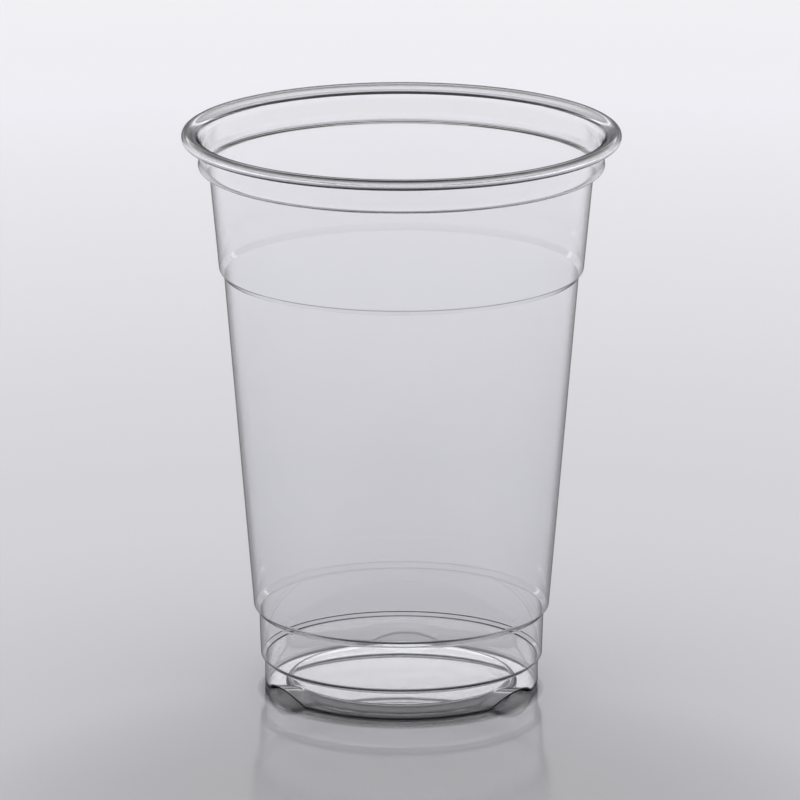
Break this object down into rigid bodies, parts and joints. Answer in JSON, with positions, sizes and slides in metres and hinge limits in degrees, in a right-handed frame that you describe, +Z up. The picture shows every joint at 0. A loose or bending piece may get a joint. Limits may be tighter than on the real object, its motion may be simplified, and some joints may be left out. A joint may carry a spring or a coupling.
{
  "type": "clear plastic cup",
  "caption": "Clear thermoformed cold-drink cup with a rolled rim, a stacking collar, stepped tapered walls and a foot ring with arches.",
  "frame": {"origin": "centre of the foot ring, in the plane that stands on the table", "axes": "+Z up the cup's axis to the mouth; one foot faces -Y and one arch faces +Y"},
  "size_m": [0.095, 0.095, 0.124],
  "materials": {
    "clear_pet": "clear, glossy, thermoformed"
  },
  "bodies": {
    "root": {"cup": "clear_pet"}
  },
  "joints": []
}
